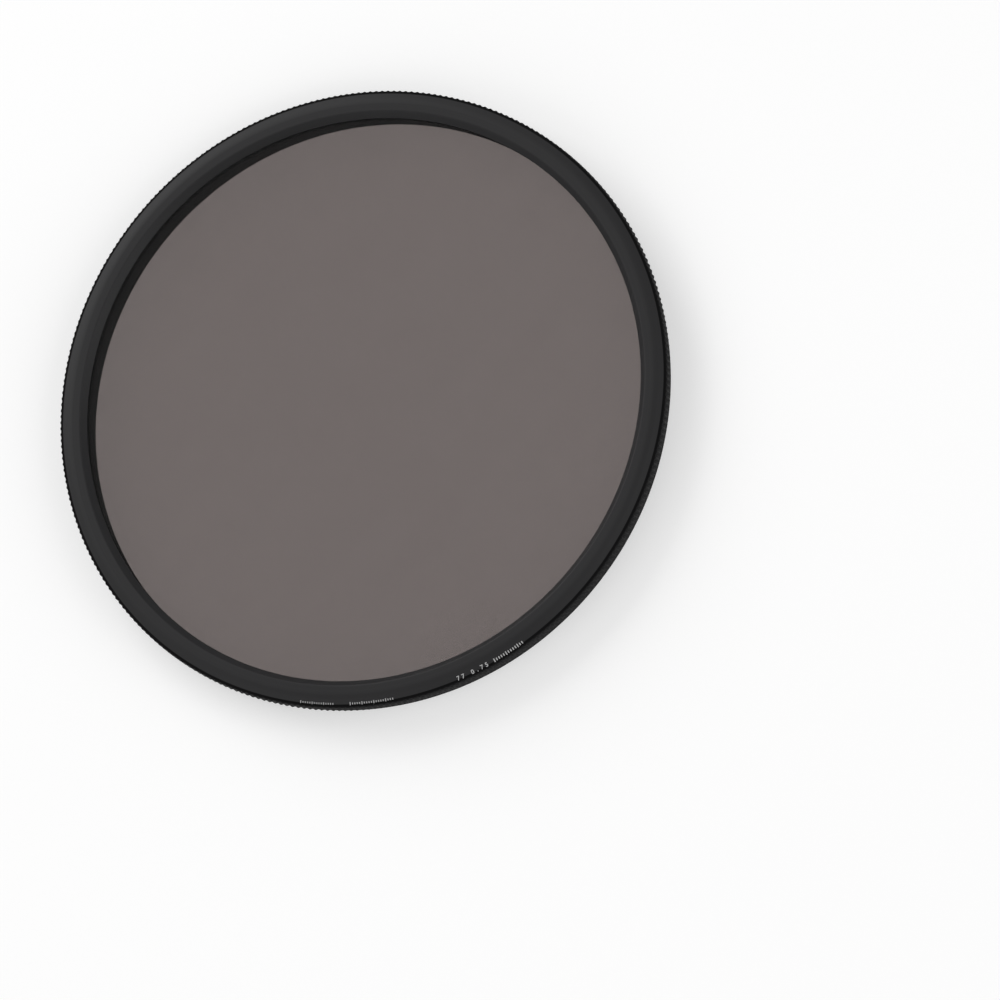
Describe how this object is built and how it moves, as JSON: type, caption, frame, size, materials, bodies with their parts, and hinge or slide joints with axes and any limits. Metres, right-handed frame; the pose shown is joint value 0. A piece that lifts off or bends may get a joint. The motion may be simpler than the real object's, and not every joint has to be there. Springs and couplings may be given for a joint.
{
  "type": "screw-in lens filter",
  "caption": "Slim round polarising lens filter: a black knurled front ring with a grey pane turns freely in a flanged rear ring with a male lens thread.",
  "frame": {"origin": "centre of the rear end of the lens thread, where the filter lies on a table", "axes": "+Z is the optical axis, from the rear thread towards the front face; X and Y are in the plane of the filter"},
  "size_m": [0.08, 0.08, 0.0058],
  "materials": {
    "black_anodised": "fine-turned, satin black anodised",
    "spring_steel": "drawn bright spring wire",
    "cover_glass": "polished, coated against reflections",
    "polarising_sheet": "warm neutral grey sheet, passes about a third of the light"
  },
  "bodies": {
    "mount": {"mount_ring": "black_anodised", "retaining_wire": "spring_steel"},
    "rotor": {"rotating_ring": "black_anodised", "front_glass": "cover_glass", "polarising_film": "polarising_sheet", "rear_glass": "cover_glass", "glass_retainer": "black_anodised"}
  },
  "joints": [
    {"name": "polariser_turn", "type": "hinge", "parent": "mount", "child": "rotor", "pos_m": [0, 0, 0.0031], "axis": [0, 0, 1], "continuous": true}
  ]
}
